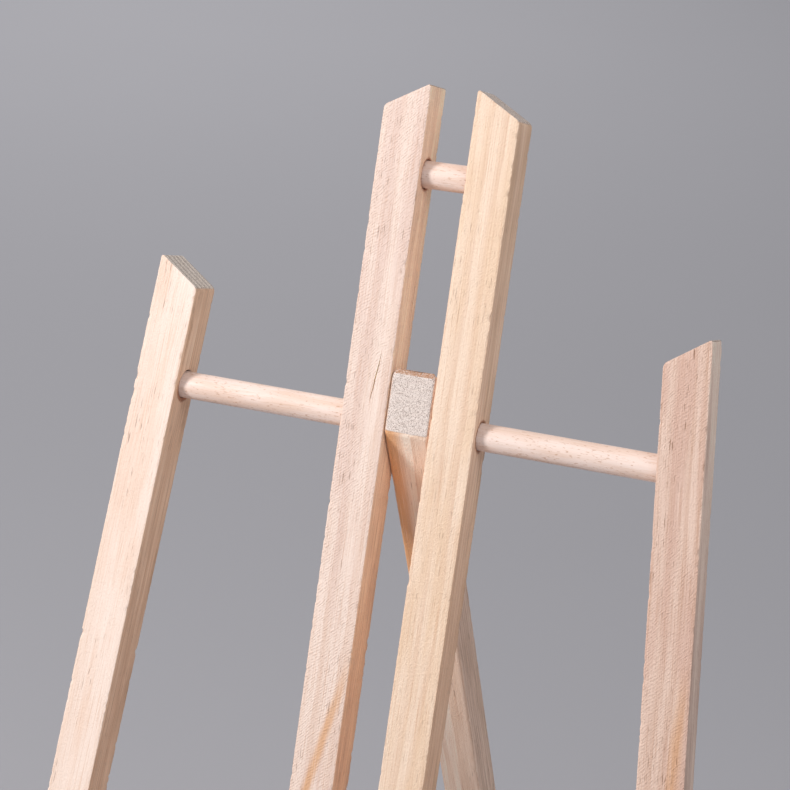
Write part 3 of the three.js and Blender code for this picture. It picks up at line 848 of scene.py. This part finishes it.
for name, node, seed in (("pivot_dowel_turned", "pivot_dowel", 41.0),
                         ("rung_dowel_turned", "lower_rung", 47.0),
                         ("spacer_dowel_turned", "top_spacer_dowel", 53.0)):
    low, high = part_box(node)
    centre = (low + high) / 2
    half = (high.x - low.x) / 2
    place = Matrix.Translation(centre) @ Matrix.Rotation(-LEAN, 4, "X")
    place = place @ Matrix.Rotation(math.radians(90), 4, "Y")
    profile = [(0, -half), (DOWEL_RADIUS - DOWEL_CHAMFER, -half)]
    count = max(4, int(half * 2 / DOWEL_STEP))
    for i in range(count + 1):
        along = -half + DOWEL_CHAMFER + (half - DOWEL_CHAMFER) * 2 * i / count
        swell = DOWEL_SLACK * noise.noise((seed, along / mm * 0.05, 0.5))
        profile.append((DOWEL_RADIUS - DOWEL_SLACK + swell, along))
    profile += [(DOWEL_RADIUS - DOWEL_CHAMFER, half), (0, half)]
    bm = bmesh.new()
    turned(bm, profile, place, 64)
    cutter = None
    if node == "lower_rung":
        cutter = bmesh.new()
        reach = DOWEL_RADIUS * 1.2
        bore = [(0, -reach), (CORD_HOLE_RADIUS, -reach), (CORD_HOLE_RADIUS, reach), (0, reach)]
        turned(cutter, bore, place @ Matrix.Rotation(math.radians(90), 4, "X"), 32)
    new_piece(name, bm, node, "front_frame", dowel_wood(node + "_wood", place, seed), cutter)


# ---------------------------------------------------------------- canvas ledge
# A pine board across the front that the canvas stands on, screwed to the four sticks from behind,
# and a thin lip pinned along its front edge that keeps the canvas from sliding off.

LIP_PIN_SPACING = 120 * mm
LIP_PIN_DEPTH = 0.5 * mm

for name, node, depth_corner, seed, look in (
        ("ledge_board", "canvas_ledge", 2.4 * mm, 61.0,
         dict(bores=(), pith=(30, 60), ring_width=2.6, drift=0.01, wander=3.0, early=shade(238, 203, 172),
              late=shade(212, 162, 122), ring_depth=0.5, dash=0.4, chatter=0.4)),
        ("ledge_lip_strip", "ledge_lip", 0.8 * mm, 67.0,
         dict(bores=(), pith=(44, 30), ring_width=2.0, drift=0.006, wander=2.0, early=shade(234, 197, 166),
              late=shade(206, 156, 118), ring_depth=0.55, dash=0.4, chatter=0.5))):
    corners = [front_place.inverted() @ v.co for v in frame["nodes"][node].data.vertices]
    low = Vector([min(c[i] for c in corners) for i in range(3)])
    high = Vector([max(c[i] for c in corners) for i in range(3)])
    size = high - low
    place = front_place @ Matrix.Translation((low + high) / 2) @ Matrix.Rotation(math.radians(90), 4, "Y")
    calm = (-size.x / 2 + SQUARE_MARGIN, size.x / 2 - SQUARE_MARGIN)
    bm = milled_stick(size.z, size.y, -size.x / 2, size.x / 2, calm, [], depth_corner, seed)
    bmesh.ops.transform(bm, matrix=place, verts=bm.verts)
    cutter = None
    if node == "ledge_lip":
        cutter = bmesh.new()
        pit = [(0, -1 * mm), (BRAD_HEAD, -1 * mm), (BRAD_HEAD, LIP_PIN_DEPTH), (0, LIP_PIN_DEPTH)]
        for x in (-LIP_PIN_SPACING, 0, LIP_PIN_SPACING):
            driven = Matrix.Translation((x, low.y, LEDGE_HEIGHT)) @ Matrix.Rotation(math.radians(-90), 4, "X")
            turned(cutter, pit, front_place @ driven, 24)
    new_piece(name, bm, node, "front_frame", pine(node + "_pine", place, seed=seed, **look), cutter)


# ---------------------------------------------------------------- screws, brads and pins
# Zinc-plated steel. Four screws hold the ledge from behind, small brads lock the dowels in their holes,
# and three pins hold the lip.

zinc = bpy.data.materials.new("zinc_plate")
zinc.use_nodes = True
tree = zinc.node_tree
shader = tree.nodes["Principled BSDF"]
spot = put(tree, "ShaderNodeTexCoord").outputs["Object"]
dull = put(tree, "ShaderNodeTexNoise", {"Vector": spot, "Scale": 900.0, "Detail": 3.0}).outputs["Fac"]
tree.links.new(blend(tree, dull, (0.62, 0.61, 0.58, 1), (0.40, 0.39, 0.36, 1)), shader.inputs["Base Color"])
tree.links.new(calc(tree, "MULTIPLY_ADD", dull, 0.3, 0.25), shader.inputs["Roughness"])
shader.inputs["Metallic"].default_value = 1.0
bump = put(tree, "ShaderNodeBump", {"Height": dull, "Strength": 0.4, "Distance": 0.05 * mm})
tree.links.new(bump.outputs["Normal"], shader.inputs["Normal"])
for node, thing in frame["nodes"].items():
    if node.endswith(("_brad", "_screw", "_pin")):
        thing.data.materials.clear()
        thing.data.materials.append(zinc)
